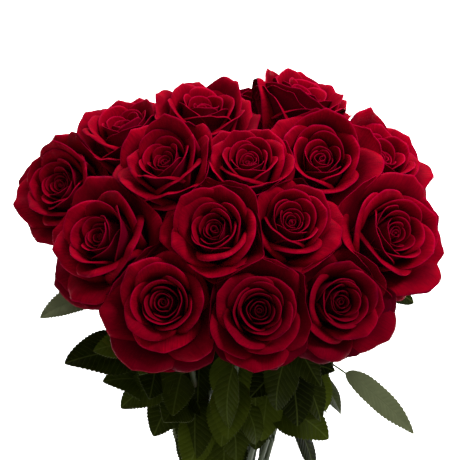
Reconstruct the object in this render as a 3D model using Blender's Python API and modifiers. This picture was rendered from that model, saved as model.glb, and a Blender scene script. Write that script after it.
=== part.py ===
"""A bunch of red roses standing in a plain clear-glass vase that is part filled with water.

The frame has its origin at the centre of the vase's foot, +Z up. The stems cross at the vase's neck, lean the
same way round, and fan out above it, so the blooms make a dome. Lengths are in metres.
"""

import math

import bmesh
import bpy
from mathutils import Matrix, Vector

# The vase, measured on its outside.
VASE_HEIGHT = 0.190
FOOT_RADIUS = 0.046
BELLY_RADIUS = 0.062
BELLY_HEIGHT = 0.066
NECK_RADIUS = 0.033
RIM_RADIUS = 0.044
FLARE_HEIGHT = 0.030
NECK_HEIGHT = VASE_HEIGHT - FLARE_HEIGHT
GLASS_WALL = 0.0034
GLASS_FLOOR = 0.011
FOOT_CHAMFER = 0.002
VASE_STEPS = 36
WALL_STEPS = 14
WATER_LEVEL = 0.122

# Pieces that touch keep this gap, the water's a little more on the sloping glass.
# Points closer than MERGE are one.
GAP = 0.0003
WATER_GAP = 0.0004
MERGE = 0.00002

# The stems pass the neck packed in two rings round one in the middle, and stand on the vase's floor in
# wider ones. The rooms are the free space beside a stem in its ring, between the rings, and on the floor
# out to the glass.
STEM_RADIUS = 0.0030
STEM_SIDES_RESOLUTION = 2
HIP_RADIUS = 0.0064
HIP_LENGTH = 0.013
STEM_ROOM = 0.00104
RING_ROOM = 0.0022
FLOOR_ROOM = 0.0036
FLOOR_RING_STEP = 0.014
INNER_RING_STEMS = 8
CROSSING_RISE = 0.006
CROSSING_HEIGHT = NECK_HEIGHT + CROSSING_RISE
INNER_RING_RADIUS = (2 * STEM_RADIUS + STEM_ROOM) / (2 * math.sin(math.pi / INNER_RING_STEMS))
OUTER_RING_RADIUS = INNER_RING_RADIUS + 2 * STEM_RADIUS + RING_ROOM
OUTER_FOOT_RADIUS = FOOT_RADIUS - GLASS_WALL - FLOOR_ROOM - STEM_RADIUS
RING_RADII = {"outer": OUTER_RING_RADIUS, "inner": INNER_RING_RADIUS, "middle": 0.0}
RING_FOOT_RADII = {"outer": OUTER_FOOT_RADIUS, "inner": OUTER_FOOT_RADIUS - FLOOR_RING_STEP, "middle": 0.0}
CHANNEL_OVERRUN = 0.004
UPPER_POINTS = 8
LOWER_SWING = 0.7
UPPER_SWING = 0.45

# A bloom's depth from its hip to its rim, as a share of its diameter.
BLOOM_DEPTH_SHARE = 0.54
BLOOM_STEPS = 14

# A leaf: its rachis, a leaflet's outline as shares of its length and half width, and where the pairs of
# side leaflets sit along the rachis, with their size beside the first leaflet's.
LEAF_THICKNESS = 0.0009
RACHIS_HALF_WIDTH = 0.0011
LEAFLET_HOLD = 0.0016
LEAFLET_ANGLE = 58.0
LEAFLET_ROWS = ((0.0, 0.0), (0.12, 0.52), (0.40, 1.0), (0.74, 0.66), (1.0, 0.0))
PAIR_SHARES = (0.62, 0.30)
PAIR_SIZES = (0.80, 0.66)

# Each rose: name, its ring at the neck and its place round that ring, heading round the vase, reach from
# the vase's axis to the middle of its rim, height of that point above the vase's rim, the way it faces,
# its lean from upright, its diameter, and how far its stem bows anticlockwise halfway up. Angles are in
# degrees.
# Within a ring the roses follow each other anticlockwise.
ROSES = (
    ("left_upper", "outer", 92, 192, 0.152, 0.353, 232, 52, 0.088, -0.002),
    ("left_lower", "outer", 117, 223, 0.153, 0.344, 230, 50, 0.102, 0.000),
    ("front_left", "outer", 147, 250, 0.168, 0.313, 262, 56, 0.100, 0.000),
    ("front_middle", "outer", 176, 276, 0.168, 0.311, 274, 57, 0.085, -0.004),
    ("front_right", "outer", 202, 300, 0.167, 0.305, 290, 60, 0.090, -0.002),
    ("right_lower", "outer", 255, 325, 0.158, 0.338, 306, 55, 0.100, -0.018),
    ("right_upper", "outer", 278, 2, 0.125, 0.363, 330, 30, 0.094, -0.014),
    ("back_right_low", "outer", 304, 42, 0.138, 0.338, 42, 46, 0.094, -0.020),
    ("back_low", "outer", 338, 78, 0.152, 0.315, 78, 50, 0.094, -0.013),
    ("back_left_low", "outer", 3, 116, 0.152, 0.322, 116, 50, 0.092, -0.007),
    ("back_left_high", "outer", 42, 140, 0.112, 0.365, 138, 36, 0.086, -0.003),
    ("left_back", "outer", 66, 160, 0.155, 0.322, 160, 50, 0.092, -0.008),
    ("top_left", "inner", 85, 178, 0.093, 0.391, 196, 12, 0.090, 0.000),
    ("upper_left", "inner", 130, 231, 0.092, 0.394, 236, 29, 0.082, -0.004),
    ("centre", "inner", 175, 262, 0.132, 0.363, 253, 47, 0.086, 0.000),
    ("small_middle", "inner", 220, 277, 0.079, 0.396, 271, 23, 0.072, 0.010),
    ("centre_right", "inner", 266, 291, 0.123, 0.363, 288, 37, 0.086, 0.007),
    ("upper_right", "inner", 311, 324, 0.085, 0.387, 276, 35, 0.098, -0.005),
    ("top_right", "inner", 356, 34, 0.072, 0.400, 12, 22, 0.090, -0.006),
    ("back_high", "inner", 41, 95, 0.085, 0.376, 95, 28, 0.088, -0.001),
    ("top", "middle", 0, 190, 0.026, 0.410, 330, 8, 0.084, 0.000),
)
NAME, RING, TURN, HEADING, REACH, HEIGHT, FACING, LEAN, DIAMETER, BOW = range(10)

# Each leaf: name, the rose whose stem bears it, share of the way up that stem, heading and rise of its
# rachis, roll about it, droop over its length, length of the rachis to its last leaflet, that leaflet's
# length and width, and its pairs of side leaflets.
LEAVES = (
    ("left_grey", "left_upper", 0.62, 229, 38, -35, 72, 0.058, 0.058, 0.026, 1),
    ("left_big", "left_lower", 0.55, 219, 40, -30, 45, 0.052, 0.070, 0.046, 1),
    ("left_small", "front_left", 0.72, 211, 29, -30, 50, 0.035, 0.044, 0.028, 1),
    ("left_low", "front_left", 0.47, 223, 61, -30, 60, 0.042, 0.064, 0.046, 1),
    ("low_left", "front_left", 0.50, 281, -24, -25, 50, 0.006, 0.058, 0.038, 0),
    ("middle_fold", "front_middle", 0.74, 238, -38, 0, 60, 0.016, 0.056, 0.022, 0),
    ("middle_low", "front_middle", 0.56, 317, -24, 0, 60, 0.008, 0.044, 0.030, 0),
    ("middle_long", "front_right", 0.86, 231, -41, 0, 50, 0.028, 0.058, 0.034, 1),
    ("right_low", "front_right", 0.52, 322, 4, 20, 50, 0.006, 0.064, 0.042, 0),
    ("right_dark", "front_right", 0.66, 300, -36, 20, 40, 0.006, 0.048, 0.030, 0),
    ("right_long", "right_lower", 0.62, 346, -26, 20, 26, 0.050, 0.088, 0.027, 0),
    ("right_high", "right_lower", 0.82, 348, 6, 20, 50, 0.035, 0.042, 0.026, 1),
    ("right_rear", "back_right_low", 0.60, 19, 35, 20, 60, 0.050, 0.060, 0.042, 1),
    ("rear", "back_low", 0.55, 77, 42, 0, 70, 0.049, 0.062, 0.044, 1),
    ("left_behind", "back_left_low", 0.60, 119, 38, 0, 60, 0.046, 0.060, 0.042, 1),
    ("left_rear", "left_back", 0.55, 138, 36, 0, 60, 0.040, 0.060, 0.040, 1),
)
LEAF_NAME, LEAF_STEM, LEAF_SHARE, LEAF_HEADING, LEAF_RISE, ROLL, DROOP = range(7)
RACHIS, LEAFLET, LEAF_WIDTH, PAIRS = range(7, 11)

PETAL_RED = (0.30, 0.002, 0.008, 1.0)
STEM_GREEN = (0.09, 0.14, 0.04, 1.0)
LEAF_GREEN = (0.04, 0.075, 0.015, 1.0)
GLASS_CLEAR = (0.86, 0.93, 0.92, 1.0)
WATER_CLEAR = (0.80, 0.90, 0.92, 1.0)


def clear_scene():
    for existing in list(bpy.data.objects):
        bpy.data.objects.remove(existing)


def make_material(name, colour, roughness, transmission=0.0):
    material = bpy.data.materials.new(name)
    material.use_nodes = True
    shader = material.node_tree.nodes["Principled BSDF"]
    shader.inputs["Base Color"].default_value = colour
    shader.inputs["Roughness"].default_value = roughness
    shader.inputs["Transmission Weight"].default_value = transmission
    return material


def new_mesh_object(name, material, collection):
    mesh = bpy.data.meshes.new(name)
    made = bpy.data.objects.new(name, mesh)
    made.data.materials.append(material)
    collection.objects.link(made)
    return made


def polar(degrees, radius, height=0.0):
    angle = math.radians(degrees)
    return Vector((radius * math.cos(angle), radius * math.sin(angle), height))


def turned(name, outline, steps, material, collection):
    """A turned solid. The outline starts and ends on the axis and runs down its outer side."""
    made = new_mesh_object(name, material, collection)
    points = [(radius, 0.0, height) for radius, height in outline]
    made.data.from_pydata(points, [(i, i + 1) for i in range(len(points) - 1)], [])
    screw = made.modifiers.new("Screw", "SCREW")
    screw.axis = "Z"
    screw.angle = math.tau
    screw.steps = steps
    screw.render_steps = steps
    screw.use_merge_vertices = True
    screw.merge_threshold = MERGE
    return made


def settle(made):
    """Applies an object's modifiers, so that its own mesh is the finished one."""
    graph = bpy.context.evaluated_depsgraph_get()
    finished = bpy.data.meshes.new_from_object(made.evaluated_get(graph))
    made.modifiers.clear()
    made.data = finished
    return made


# The vase and its water


def outer_radius(height):
    """The vase's silhouette: foot, belly, neck and rim joined by half waves."""
    stations = (
        (0.0, FOOT_RADIUS),
        (BELLY_HEIGHT, BELLY_RADIUS),
        (NECK_HEIGHT, NECK_RADIUS),
        (VASE_HEIGHT, RIM_RADIUS),
    )
    for (low, low_radius), (high, high_radius) in zip(stations, stations[1:]):
        if height <= high:
            share = (height - low) / (high - low)
            if low == 0.0:
                return low_radius + (high_radius - low_radius) * math.sin(share * math.pi / 2)
            if high == VASE_HEIGHT:
                return low_radius + (high_radius - low_radius) * (1 - math.cos(share * math.pi / 2))
            return low_radius + (high_radius - low_radius) * (1 - math.cos(share * math.pi)) / 2
    return RIM_RADIUS


def heights_between(low, high, count):
    return [low + (high - low) * i / count for i in range(count + 1)]


def inner_wall():
    """The vase's inner side from its floor to its rim."""
    return [(outer_radius(z) - GLASS_WALL, z) for z in heights_between(GLASS_FLOOR, VASE_HEIGHT, WALL_STEPS)]


def inner_radius(height):
    """The inner side's radius at a height, on the straight run between its two nearest points."""
    wall = inner_wall()
    for (low_radius, low), (high_radius, high) in zip(wall, wall[1:]):
        if height <= high:
            return low_radius + (high_radius - low_radius) * (height - low) / (high - low)
    return wall[-1][0]


def make_vase(material, collection):
    inside = inner_wall()
    outside = [(outer_radius(z), z) for z in heights_between(FOOT_CHAMFER, VASE_HEIGHT, WALL_STEPS)]
    lip = [(RIM_RADIUS - GLASS_WALL / 2, VASE_HEIGHT + GLASS_WALL / 4)]
    foot = [(FOOT_RADIUS - FOOT_CHAMFER, 0.0), (0.0, 0.0)]
    outline = [(0.0, GLASS_FLOOR)] + inside + lip + outside[::-1] + foot
    return turned("vase", outline, VASE_STEPS, material, collection)


def make_water(cutter, material, collection):
    bottom = GLASS_FLOOR + GAP
    heights = [bottom] + [z for _, z in inner_wall() if bottom + GAP < z < WATER_LEVEL - GAP] + [WATER_LEVEL]
    wall = [(inner_radius(z) - WATER_GAP, z) for z in heights]
    outline = [(0.0, WATER_LEVEL)] + wall[::-1] + [(0.0, bottom)]
    water = turned("water", outline, VASE_STEPS, material, collection)
    cut = water.modifiers.new("Stem channels", "BOOLEAN")
    cut.operation = "DIFFERENCE"
    cut.solver = "EXACT"
    cut.object = cutter
    return water


# The stems


def bloom_axis(rose):
    lean = math.radians(rose[LEAN])
    return polar(rose[FACING], math.sin(lean), math.cos(lean))


def rim_centre(rose):
    return polar(rose[HEADING], rose[REACH], VASE_HEIGHT + rose[HEIGHT])


def bloom_depth(rose):
    return rose[DIAMETER] * BLOOM_DEPTH_SHARE


def hip_top(rose):
    """Where the bloom sits on its hip."""
    return rim_centre(rose) - bloom_axis(rose) * bloom_depth(rose)


def crossing_slope(rose):
    """How far a stem runs sideways for each metre it rises through the neck."""
    radius, foot_radius = RING_RADII[rose[RING]], RING_FOOT_RADII[rose[RING]]
    return math.sqrt(foot_radius**2 - radius**2) / (CROSSING_HEIGHT - GLASS_FLOOR)


def crossing(rose, height):
    """The straight run of a stem through the neck, at a height. It passes the axis at its ring's radius."""
    sideways = crossing_slope(rose) * (height - CROSSING_HEIGHT)
    return polar(rose[TURN], RING_RADII[rose[RING]], height) + polar(rose[TURN] + 90, sideways)


def foot_height(rose):
    """The middle of a stem's cut end, high enough for the slanting cut's lower side to clear the floor."""
    tilt = math.atan(crossing_slope(rose))
    return GLASS_FLOOR + GAP + STEM_RADIUS * math.sin(tilt)


def stem_line(rose):
    """A stem's centre line with a radius at each point: foot, neck, then the curve out to its hip."""
    foot = crossing(rose, foot_height(rose))
    low = crossing(rose, CROSSING_HEIGHT)
    along = (low - foot).normalized()
    axis = bloom_axis(rose)
    top = hip_top(rose) - axis * GAP
    collar = top - axis * HIP_LENGTH
    reach = (collar - low).length
    line = [(foot, STEM_RADIUS)]
    for i in range(UPPER_POINTS + 1):
        t = i / UPPER_POINTS
        place = (
            low * (2 * t**3 - 3 * t**2 + 1)
            + along * reach * LOWER_SWING * (t**3 - 2 * t**2 + t)
            + collar * (3 * t**2 - 2 * t**3)
            + axis * reach * UPPER_SWING * (t**3 - t**2)
            + polar(rose[HEADING] + 90, rose[BOW] * math.sin(t * math.pi) ** 2)
        )
        line.append((place, STEM_RADIUS))
    line.append((top - axis * HIP_LENGTH * 0.55, HIP_RADIUS * 0.85))
    line.append((top - axis * HIP_LENGTH * 0.2, HIP_RADIUS))
    line.append((top, HIP_RADIUS * 0.8))
    return line


def tube(name, line, material, collection, extra=0.0, resolution=STEM_SIDES_RESOLUTION):
    """A round tube along a line of points and radii."""
    curve = bpy.data.curves.new(name, "CURVE")
    curve.dimensions = "3D"
    curve.bevel_depth = 1.0
    curve.bevel_resolution = resolution
    curve.use_fill_caps = True
    spline = curve.splines.new("POLY")
    spline.points.add(len(line) - 1)
    for point, (place, radius) in zip(spline.points, line):
        point.co = (*place, 1.0)
        point.radius = radius + extra
    made = bpy.data.objects.new(name, curve)
    made.data.materials.append(material)
    collection.objects.link(made)
    return made


def as_mesh(made):
    """A curve object made a closed mesh object of the same name."""
    graph = bpy.context.evaluated_depsgraph_get()
    mesh = bpy.data.meshes.new_from_object(made.evaluated_get(graph))
    shape = bmesh.new()
    shape.from_mesh(mesh)
    bmesh.ops.remove_doubles(shape, verts=shape.verts, dist=MERGE)
    shape.to_mesh(mesh)
    shape.free()
    name, home = made.name, made.users_collection[0]
    curve = made.data
    bpy.data.objects.remove(made)
    bpy.data.curves.remove(curve)
    solid = bpy.data.objects.new(name, mesh)
    home.objects.link(solid)
    return solid


def stem_channels(material, collection):
    """The room the stems take in the water, as one cutter."""
    channels = []
    for rose in ROSES:
        ends = (GLASS_FLOOR - CHANNEL_OVERRUN, WATER_LEVEL + CHANNEL_OVERRUN)
        line = [(crossing(rose, z), STEM_RADIUS) for z in ends]
        channels.append(as_mesh(tube("channel_" + rose[NAME], line, material, collection, extra=GAP)))
    joined = bmesh.new()
    for channel in channels:
        joined.from_mesh(channel.data)
        bpy.data.objects.remove(channel)
    cutter = new_mesh_object("stem_channels", material, collection)
    joined.to_mesh(cutter.data)
    joined.free()
    cutter.hide_render = True
    cutter.display_type = "WIRE"
    return cutter


# The leaves


def stem_place(rose, share):
    """A point on a stem between its crossing and its hip, and the way the stem runs there."""
    line = [place for place, _ in stem_line(rose)][1:]
    step = share * UPPER_POINTS
    low = min(int(step), UPPER_POINTS - 1)
    return line[low].lerp(line[low + 1], step - low), (line[low + 1] - line[low]).normalized()


def strip(shape, rows, across):
    """A grid of rows of three points: each row is a middle, and the arm from it to its left side."""
    made = bmesh.ops.create_grid(shape, x_segments=2, y_segments=len(rows) - 1, size=1.0)
    verts = sorted(made["verts"], key=lambda v: (round(v.co.y, 4), -round(v.co.x, 4)))
    for i, (middle, arm) in enumerate(rows):
        for side, vert in zip((1, 0, -1), verts[3 * i : 3 * i + 3]):
            vert.co = middle + arm * side
            vert.co.z += abs(side) * arm.length * (across if i else 0.0)


def leaflet_rows(base, heading, length, width, hold):
    along, left = polar(heading, 1.0), polar(heading + 90, 1.0)
    rows = [(base, hold)]
    for share, half in LEAFLET_ROWS[1:]:
        rows.append((base + along * length * share, left * width / 2 * half))
    return rows


def leaf_sheet(length, leaflet, width, pairs):
    """A leaf laid flat along +X: the rachis, a leaflet on its end, and pairs of smaller leaflets along it."""
    shape = bmesh.new()
    edge = Vector((0.0, RACHIS_HALF_WIDTH, 0.0))
    shares = [PAIR_SHARES[i] for i in range(pairs)][::-1]
    stations = [0.0]
    for share in shares:
        middle = length * share
        stations += [middle - LEAFLET_HOLD, middle, middle + LEAFLET_HOLD]
    strip(shape, [(Vector((x, 0, 0)), edge) for x in stations + [length]], 0.0)
    strip(shape, leaflet_rows(Vector((length, 0, 0)), 0.0, leaflet, width, edge), 0.12)
    for i in range(pairs):
        for side in (1, -1):
            base = Vector((length * PAIR_SHARES[i], RACHIS_HALF_WIDTH * side, 0.0))
            hold = Vector((-LEAFLET_HOLD * side, 0.0, 0.0))
            size = PAIR_SIZES[i]
            strip(shape, leaflet_rows(base, side * LEAFLET_ANGLE, leaflet * size, width * size, hold), 0.12)
    bmesh.ops.remove_doubles(shape, verts=shape.verts, dist=MERGE)
    bmesh.ops.recalc_face_normals(shape, faces=shape.faces)
    if sum(face.normal.z for face in shape.faces) < 0:
        bmesh.ops.reverse_faces(shape, faces=shape.faces)
    return shape


def make_leaf(leaf, material, collection):
    rose = next(other for other in ROSES if other[NAME] == leaf[LEAF_STEM])
    start, along = stem_place(rose, leaf[LEAF_SHARE])
    pointing = polar(leaf[LEAF_HEADING], 1.0) + Vector((0, 0, math.tan(math.radians(leaf[LEAF_RISE]))))
    pointing.normalize()
    outward = (pointing - along * pointing.dot(along)).normalized()
    start = start + outward * (STEM_RADIUS + LEAF_THICKNESS + GAP)
    shape = leaf_sheet(leaf[RACHIS], leaf[LEAFLET], leaf[LEAF_WIDTH], leaf[PAIRS])
    whole = leaf[RACHIS] + leaf[LEAFLET]
    bend = math.radians(leaf[DROOP]) / whole
    for vert in shape.verts:
        x, z = vert.co.x, vert.co.z
        turn = bend * x
        if abs(turn) > 1e-6:
            vert.co.x = math.sin(turn) / bend + math.sin(turn) * z
            vert.co.z = -(1 - math.cos(turn)) / bend + math.cos(turn) * z
    sideways = Vector((0, 0, 1)).cross(pointing).normalized()
    frame = Matrix((pointing, sideways, pointing.cross(sideways))).transposed()
    roll = Matrix.Rotation(math.radians(leaf[ROLL]), 3, "X")
    placed = Matrix.Translation(start) @ (frame @ roll).to_4x4()
    made = new_mesh_object("leaf_" + leaf[LEAF_NAME], material, collection)
    shape.transform(placed)
    shape.to_mesh(made.data)
    shape.free()
    thick = made.modifiers.new("Blade", "SOLIDIFY")
    thick.thickness = LEAF_THICKNESS
    thick.offset = 0.0
    return made


# The blooms


def bloom_outline(rose):
    """Half of a bloom's section: furled heart, the hollow round it, cup, guard petals' lip, and belly."""
    radius, depth = rose[DIAMETER] / 2, bloom_depth(rose)
    shares = (
        (0.0, 0.93),
        (0.16, 0.90),
        (0.30, 0.74),
        (0.58, 0.96),
        (0.76, 1.00),
        (1.00, 0.86),
        (0.94, 0.72),
        (0.70, 0.46),
        (0.52, 0.20),
        (0.24, 0.02),
        (0.12, 0.00),
        (0.0, 0.00),
    )
    return [(radius * r, depth * z) for r, z in shares]


def crowding_planes(rose):
    """The planes midway to the blooms around, where their petals press against each other."""
    planes = []
    middle = rim_centre(rose) - bloom_axis(rose) * bloom_depth(rose) * 0.35
    for other in ROSES:
        if other is rose:
            continue
        its_middle = rim_centre(other) - bloom_axis(other) * bloom_depth(other) * 0.35
        between = its_middle - middle
        if between.length > (rose[DIAMETER] + other[DIAMETER]) / 2 * 1.2:
            continue
        share = rose[DIAMETER] / (rose[DIAMETER] + other[DIAMETER])
        planes.append((middle + between * share - between.normalized() * GAP / 2, between.normalized()))
    return planes


def make_bloom(rose, material, collection):
    bloom = settle(turned("bloom_" + rose[NAME], bloom_outline(rose), BLOOM_STEPS, material, collection))
    upright = bloom_axis(rose).to_track_quat("Z", "Y").to_matrix().to_4x4()
    bloom.data.transform(Matrix.Translation(hip_top(rose)) @ upright)
    shape = bmesh.new()
    shape.from_mesh(bloom.data)
    bmesh.ops.remove_doubles(shape, verts=shape.verts, dist=MERGE)
    for place, normal in crowding_planes(rose):
        everything = shape.verts[:] + shape.edges[:] + shape.faces[:]
        cut = bmesh.ops.bisect_plane(
            shape, geom=everything, plane_co=place, plane_no=normal, clear_outer=True, dist=1e-7
        )
        edges = [e for e in cut["geom_cut"] if isinstance(e, bmesh.types.BMEdge) and e.is_boundary]
        if edges:
            bmesh.ops.holes_fill(shape, edges=edges, sides=0)
    bmesh.ops.recalc_face_normals(shape, faces=shape.faces)
    shape.to_mesh(bloom.data)
    shape.free()
    bloom.data.shade_smooth()
    bloom.data.set_sharp_from_angle(angle=math.radians(40))
    return bloom


def main():
    clear_scene()
    bouquet = bpy.data.collections.new("roses_in_a_vase")
    cutters = bpy.data.collections.new("cutters")
    for collection in (bouquet, cutters):
        bpy.context.scene.collection.children.link(collection)
    petal = make_material("petal", PETAL_RED, 0.6)
    stem = make_material("stem", STEM_GREEN, 0.5)
    green = make_material("leaf", LEAF_GREEN, 0.45)
    glass = make_material("glass", GLASS_CLEAR, 0.02, 1.0)
    water = make_material("water", WATER_CLEAR, 0.0, 1.0)
    make_vase(glass, bouquet)
    make_water(stem_channels(stem, cutters), water, bouquet)
    for rose in ROSES:
        tube("stem_" + rose[NAME], stem_line(rose), stem, bouquet)
        make_bloom(rose, petal, bouquet)
    for leaf in LEAVES:
        make_leaf(leaf, green, bouquet)


main()
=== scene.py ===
"""A bunch of red roses in a clear-glass vase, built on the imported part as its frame."""

import math

import bpy
import numpy as np
from mathutils import Matrix, Vector
from mathutils.bvhtree import BVHTree


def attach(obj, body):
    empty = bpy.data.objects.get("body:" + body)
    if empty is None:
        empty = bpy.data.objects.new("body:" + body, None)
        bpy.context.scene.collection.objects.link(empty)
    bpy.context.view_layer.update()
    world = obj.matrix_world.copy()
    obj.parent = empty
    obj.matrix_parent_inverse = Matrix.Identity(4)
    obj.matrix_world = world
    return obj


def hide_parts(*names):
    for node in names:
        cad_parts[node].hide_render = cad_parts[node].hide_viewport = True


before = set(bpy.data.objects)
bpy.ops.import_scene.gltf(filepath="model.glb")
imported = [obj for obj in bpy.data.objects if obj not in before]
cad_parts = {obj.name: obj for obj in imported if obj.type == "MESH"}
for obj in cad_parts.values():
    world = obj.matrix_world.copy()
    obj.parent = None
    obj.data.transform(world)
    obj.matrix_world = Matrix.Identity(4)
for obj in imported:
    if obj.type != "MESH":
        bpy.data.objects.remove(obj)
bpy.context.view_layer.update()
bpy.ops.object.select_all(action="DESELECT")

# The vase
# A plain moulded vase of clear soda-lime glass, with a belly, a neck that gathers the stems and a flared
# rim. It stands on its ground foot, and its wall is an even 3.4 mm.

GLASS_TINT = "F2FAF8"
GLASS_IOR = 1.50
GLASS_ROUGHNESS = 0.015
GLASS_SWELL = 0.0154
MERGE_WITHIN = 0.00002


def linear(hex_colour):
    """An sRGB hex value as linear RGBA."""
    parts = [int(hex_colour[i : i + 2], 16) / 255 for i in (0, 2, 4)]
    return (*(c / 12.92 if c <= 0.04045 else ((c + 0.055) / 1.055) ** 2.4 for c in parts), 1.0)


def add(tree, kind, sockets=(), **settings):
    """One node with its settings, and each input either set or linked from a socket."""
    made = tree.nodes.new(kind)
    for name, value in settings.items():
        setattr(made, name, value)
    for key, value in dict(sockets).items():
        if isinstance(value, bpy.types.NodeSocket):
            tree.links.new(value, made.inputs[key])
        else:
            made.inputs[key].default_value = value
    return made


def new_material(name):
    """An empty material: its tree, and its Principled shader."""
    material = bpy.data.materials.new(name)
    material.use_nodes = True
    return material, material.node_tree, material.node_tree.nodes["Principled BSDF"]


def soda_lime_glass():
    material, tree, shader = new_material("soda-lime glass")
    place = add(tree, "ShaderNodeTexCoord").outputs["Object"]
    # Moulded glass is glossy but never dead flat: a slow swell, 15 mm long, makes what is behind it waver.
    swell = add(tree, "ShaderNodeTexNoise", {"Vector": place, "Scale": 1 / GLASS_SWELL, "Detail": 1.0})
    bump = add(tree, "ShaderNodeBump", {"Height": swell.outputs["Fac"], "Strength": 0.05, "Distance": 0.001})
    tree.links.new(bump.outputs["Normal"], shader.inputs["Normal"])
    shader.inputs["Base Color"].default_value = linear(GLASS_TINT)
    shader.inputs["Roughness"].default_value = GLASS_ROUGHNESS
    shader.inputs["IOR"].default_value = GLASS_IOR
    shader.inputs["Transmission Weight"].default_value = 1.0
    return material


def take_up(piece):
    """Makes a piece the only one selected and the active one."""
    bpy.ops.object.select_all(action="DESELECT")
    piece.select_set(True)
    bpy.context.view_layer.objects.active = piece


def copy_of_node(node, name):
    """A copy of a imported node, with its loose triangles merged and paired back into quads."""
    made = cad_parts[node].copy()
    made.data = made.data.copy()
    made.name = name
    bpy.context.scene.collection.objects.link(made)
    take_up(made)
    bpy.ops.object.transform_apply(location=True, rotation=True, scale=True)
    bpy.ops.object.mode_set(mode="EDIT")
    bpy.ops.mesh.select_all(action="SELECT")
    bpy.ops.mesh.remove_doubles(threshold=MERGE_WITHIN)
    bpy.ops.mesh.tris_convert_to_quads()
    bpy.ops.object.mode_set(mode="OBJECT")
    return made


def apply_modifiers(piece):
    take_up(piece)
    for modifier in piece.modifiers[:]:
        bpy.ops.object.modifier_apply(modifier=modifier.name)


def round_off(piece, levels):
    """Subdivides a piece's surface and shades it smooth."""
    smooth = piece.modifiers.new("Round", "SUBSURF")
    smooth.levels = smooth.render_levels = levels
    apply_modifiers(piece)
    bpy.ops.object.shade_smooth()


def finish_piece(piece, material, nodes=()):
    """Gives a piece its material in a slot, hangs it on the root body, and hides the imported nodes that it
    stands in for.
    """
    piece.data.materials.clear()
    piece.data.materials.append(material)
    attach(piece, "root")
    if nodes:
        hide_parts(*nodes)


vase = copy_of_node("vase", "glass_vase")
round_off(vase, 2)
finish_piece(vase, soda_lime_glass(), ["vase"])

# The water
# Tap water up to the vase's shoulder, poured in round the stems. It wets the glass, so its side lies a
# little way into the wall, with no film of air between.

WATER_TINT = "F4FBFA"
WATER_IOR = 1.333
WATER_RIPPLE = 0.025
WATER_SIDES = 96
WATER_EDGE_ANGLE = math.radians(50)
WETTING = 0.0006
SAME_LEVEL = 0.0002


def still_water():
    material, tree, shader = new_material("still water")
    place = add(tree, "ShaderNodeTexCoord").outputs["Object"]
    # Still water is a mirror with a long, barely lifted ripple.
    ripple = add(tree, "ShaderNodeTexNoise", {"Vector": place, "Scale": 1 / WATER_RIPPLE, "Detail": 0.0})
    bump = add(tree, "ShaderNodeBump", {"Height": ripple.outputs["Fac"], "Strength": 0.03, "Distance": 0.001})
    tree.links.new(bump.outputs["Normal"], shader.inputs["Normal"])
    shader.inputs["Base Color"].default_value = linear(WATER_TINT)
    shader.inputs["Roughness"].default_value = 0.0
    shader.inputs["IOR"].default_value = WATER_IOR
    shader.inputs["Transmission Weight"].default_value = 1.0
    return material


def node_points(name):
    """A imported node's vertices."""
    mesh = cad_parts[name].data
    points = np.empty(len(mesh.vertices) * 3)
    mesh.vertices.foreach_get("co", points)
    return points.reshape(-1, 3)


def water_profile():
    """The water's outermost radius at each of its heights, lowest first."""
    points = node_points("water")
    radii = np.hypot(points[:, 0], points[:, 1])
    profile = []
    for height in np.unique(points[:, 2].round(4)):
        level = np.abs(points[:, 2] - height) < SAME_LEVEL
        profile.append((radii[level].max() + WETTING, height))
    return profile


profile = water_profile()
bpy.ops.mesh.primitive_circle_add(vertices=WATER_SIDES, radius=profile[0][0], fill_type="NGON")
water = bpy.context.object
water.name = "vase_water"
bpy.ops.object.mode_set(mode="EDIT")
bpy.ops.mesh.select_all(action="SELECT")
bpy.ops.transform.translate(value=(0, 0, profile[0][1]))
for (radius, height), (next_radius, next_height) in zip(profile, profile[1:]):
    bpy.ops.mesh.extrude_region_move(TRANSFORM_OT_translate={"value": (0, 0, next_height - height)})
    ratio = next_radius / radius
    bpy.ops.transform.resize(value=(ratio, ratio, 1.0))
bpy.ops.mesh.select_all(action="SELECT")
bpy.ops.mesh.normals_make_consistent(inside=False)
bpy.ops.object.mode_set(mode="OBJECT")
bpy.ops.object.transform_apply(location=True, rotation=True, scale=True)
bpy.ops.object.shade_smooth_by_angle(angle=WATER_EDGE_ANGLE)
finish_piece(water, still_water(), ["water"])

# The stems
# Woody green rose stems, about 6 mm thick, cut long. Each ends in a swollen green hip under its bloom, is
# flushed with red here and there, and carries hooked thorns that lean down the stem.

STEM_GREEN = "414E2A"
STEM_DARK = "222C14"
STEM_FLUSH = "452A1E"
STEM_RIB = 0.000714
STEM_BLOTCH = 0.0357
STEM_ROUGHNESS = 0.48
THORNS_ON_A_STEM = 9
THORNS_FROM, THORNS_TO = 0.21, 0.44
THORN_LENGTH = 0.0062
THORN_WIDTH = 0.0046
THORN_FLATNESS = 0.55
THORN_TIP = 0.0002
THORN_HOOK = 0.0024
THORN_ROOT = 0.0008
# The faces of a stem that are big enough to be its sides, in square metres.
SIDE_AREA = 0.00002


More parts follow.
